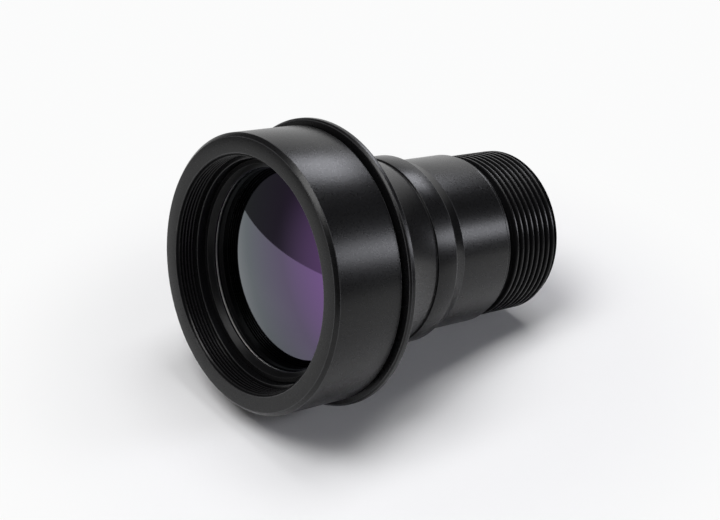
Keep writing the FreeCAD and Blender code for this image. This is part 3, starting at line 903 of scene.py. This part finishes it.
# %% The floor's white
SHEET_COLOUR = (0.93, 0.93, 0.94, 1.0)
FADE_START = 0.045
FADE_END = 0.09
material, tree, shader = new_material("floor_white")
shader.inputs["Base Color"].default_value = SHEET_COLOUR
shader.inputs["Roughness"].default_value = 0.9
shader.inputs["Specular IOR Level"].default_value = 0.0

# Away from the lens and its shadow, the camera, metal and glass see the sheet as plain white
place = add(tree, "TexCoord")
distance = add(tree, "VectorMath", operation="DISTANCE")
distance.inputs[1].default_value = ground
tree.links.new(place.outputs["Object"], distance.inputs[0])
fade = graded(tree, distance.outputs["Value"], FADE_START, FADE_END, 0.0, 1.0, "SMOOTHSTEP")
paper = add(tree, "Emission", Color=PAPER, Strength=1.0)
sheet = add(tree, "MixShader")
tree.links.new(combined(tree, "MULTIPLY", fade, rays(tree)), sheet.inputs["Fac"])
tree.links.new(shader.outputs["BSDF"], sheet.inputs[1])
tree.links.new(paper.outputs["Emission"], sheet.inputs[2])

# From below, the sheet lets the view through
clear = add(tree, "BsdfTransparent")
facing = add(tree, "NewGeometry")
pick = add(tree, "MixShader")
tree.links.new(facing.outputs["Backfacing"], pick.inputs["Fac"])
tree.links.new(sheet.outputs["Shader"], pick.inputs[1])
tree.links.new(clear.outputs["BSDF"], pick.inputs[2])
tree.links.new(pick.outputs["Shader"], tree.nodes["Material Output"].inputs["Surface"])
floor.data.materials.append(material)
print("the sheet is plain white from, in mm:", FADE_END / MM)

# %% The world
ROOM_COLOUR = (1.0, 0.97, 0.98, 1.0)
world = bpy.data.worlds.new("studio")
bpy.context.scene.world = world
world.use_nodes = True
tree = world.node_tree
view = add(tree, "TexCoord").outputs["Generated"]


def brightening(direction, start, end, dim, bright):
    """A room strength that grows from dim to bright as the view turns to a direction."""
    turned_to = add(tree, "VectorMath", operation="DOT_PRODUCT")
    turned_to.inputs[1].default_value = direction
    tree.links.new(view, turned_to.inputs[0])
    return graded(tree, turned_to.outputs["Value"], start, end, dim, bright, "SMOOTHSTEP")


# The room is dark to the right and less so to the left
left_room = brightening(-right, start=0.0, end=0.8, dim=0.025, bright=0.13)
left_wall = brightening(-0.8 * right - 0.6 * away, start=0.74, end=0.97, dim=0.0, bright=0.34)
room = tree.nodes["Background"]
room.inputs["Color"].default_value = ROOM_COLOUR
tree.links.new(combined(tree, "ADD", left_room, left_wall, clamp=True), room.inputs["Strength"])

# The white background is all round for the camera and for light through glass. What a surface mirrors
# of it stands behind the lens, because to the left the picture's glass mirrors a dark room
backdrop = brightening(away, start=0.72, end=0.95, dim=0.0, bright=1.0)
white = add(tree, "Background", Strength=1.0, Color=PAPER)
mix = add(tree, "MixShader")
tree.links.new(rays(tree, glossy_share=backdrop), mix.inputs["Fac"])
tree.links.new(room.outputs["Background"], mix.inputs[1])
tree.links.new(white.outputs["Background"], mix.inputs[2])
tree.links.new(mix.outputs["Shader"], tree.nodes["World Output"].inputs["Surface"])
print("room:", len(tree.nodes), "nodes")

# %% A lamp that looks at the lens
PLAIN = (1.0, 1.0, 1.0)
COOL = (0.92, 0.93, 1.0)
middle = spot(0.0, 0.02, 0.0)


def toward(azimuth, elevation, distance):
    """A point seen from the lens at an azimuth (0 away from the camera, 90 to its right) and elevation."""
    around = math.radians(azimuth)
    level = distance * math.cos(math.radians(elevation))
    height = distance * math.sin(math.radians(elevation))
    return spot(level * math.sin(around), height, level * math.cos(around))


def softbox(name, place, width, height, watts, colour=PLAIN):
    """A rectangular lamp that looks at the lens, with its width along the lens."""
    lamp = bpy.data.lights.new(name, "AREA")
    lamp.shape = "RECTANGLE"
    lamp.size = width
    lamp.size_y = height
    lamp.energy = watts
    lamp.color = colour
    thing = bpy.data.objects.new(name, lamp)
    bpy.context.scene.collection.objects.link(thing)
    back = (place - middle).normalized()
    across_view = back.cross(Vector((0.0, 0.0, 1.0))).normalized()
    along_lens = across_view.cross(back)
    turn = Matrix((along_lens, -across_view, back)).transposed().to_4x4()
    thing.matrix_world = Matrix.Translation(place) @ turn
    return thing


print("lamps look at a point above the sheet by, in mm:", round((middle - ground).length / MM))

# %% The four lamps
softbox("left_overhead", toward(-128.0, 67.0, 1.1), width=0.6, height=0.6, watts=7.4)
softbox("right_overhead", toward(50.0, 78.0, 1.1), width=0.5, height=0.5, watts=4.0)
back_box = softbox("back_box", toward(31.0, 41.0, 1.0), width=0.28, height=0.36, watts=3.1, colour=COOL)
softbox("right_strip", toward(92.0, 16.5, 1.0), width=0.70, height=0.20, watts=3.7, colour=COOL)

# The back box is there for the long highlight at the top right, and is kept off the white sheet
back_box.visible_diffuse = False

# %% View settings
bpy.context.scene.view_settings.view_transform = "Standard"
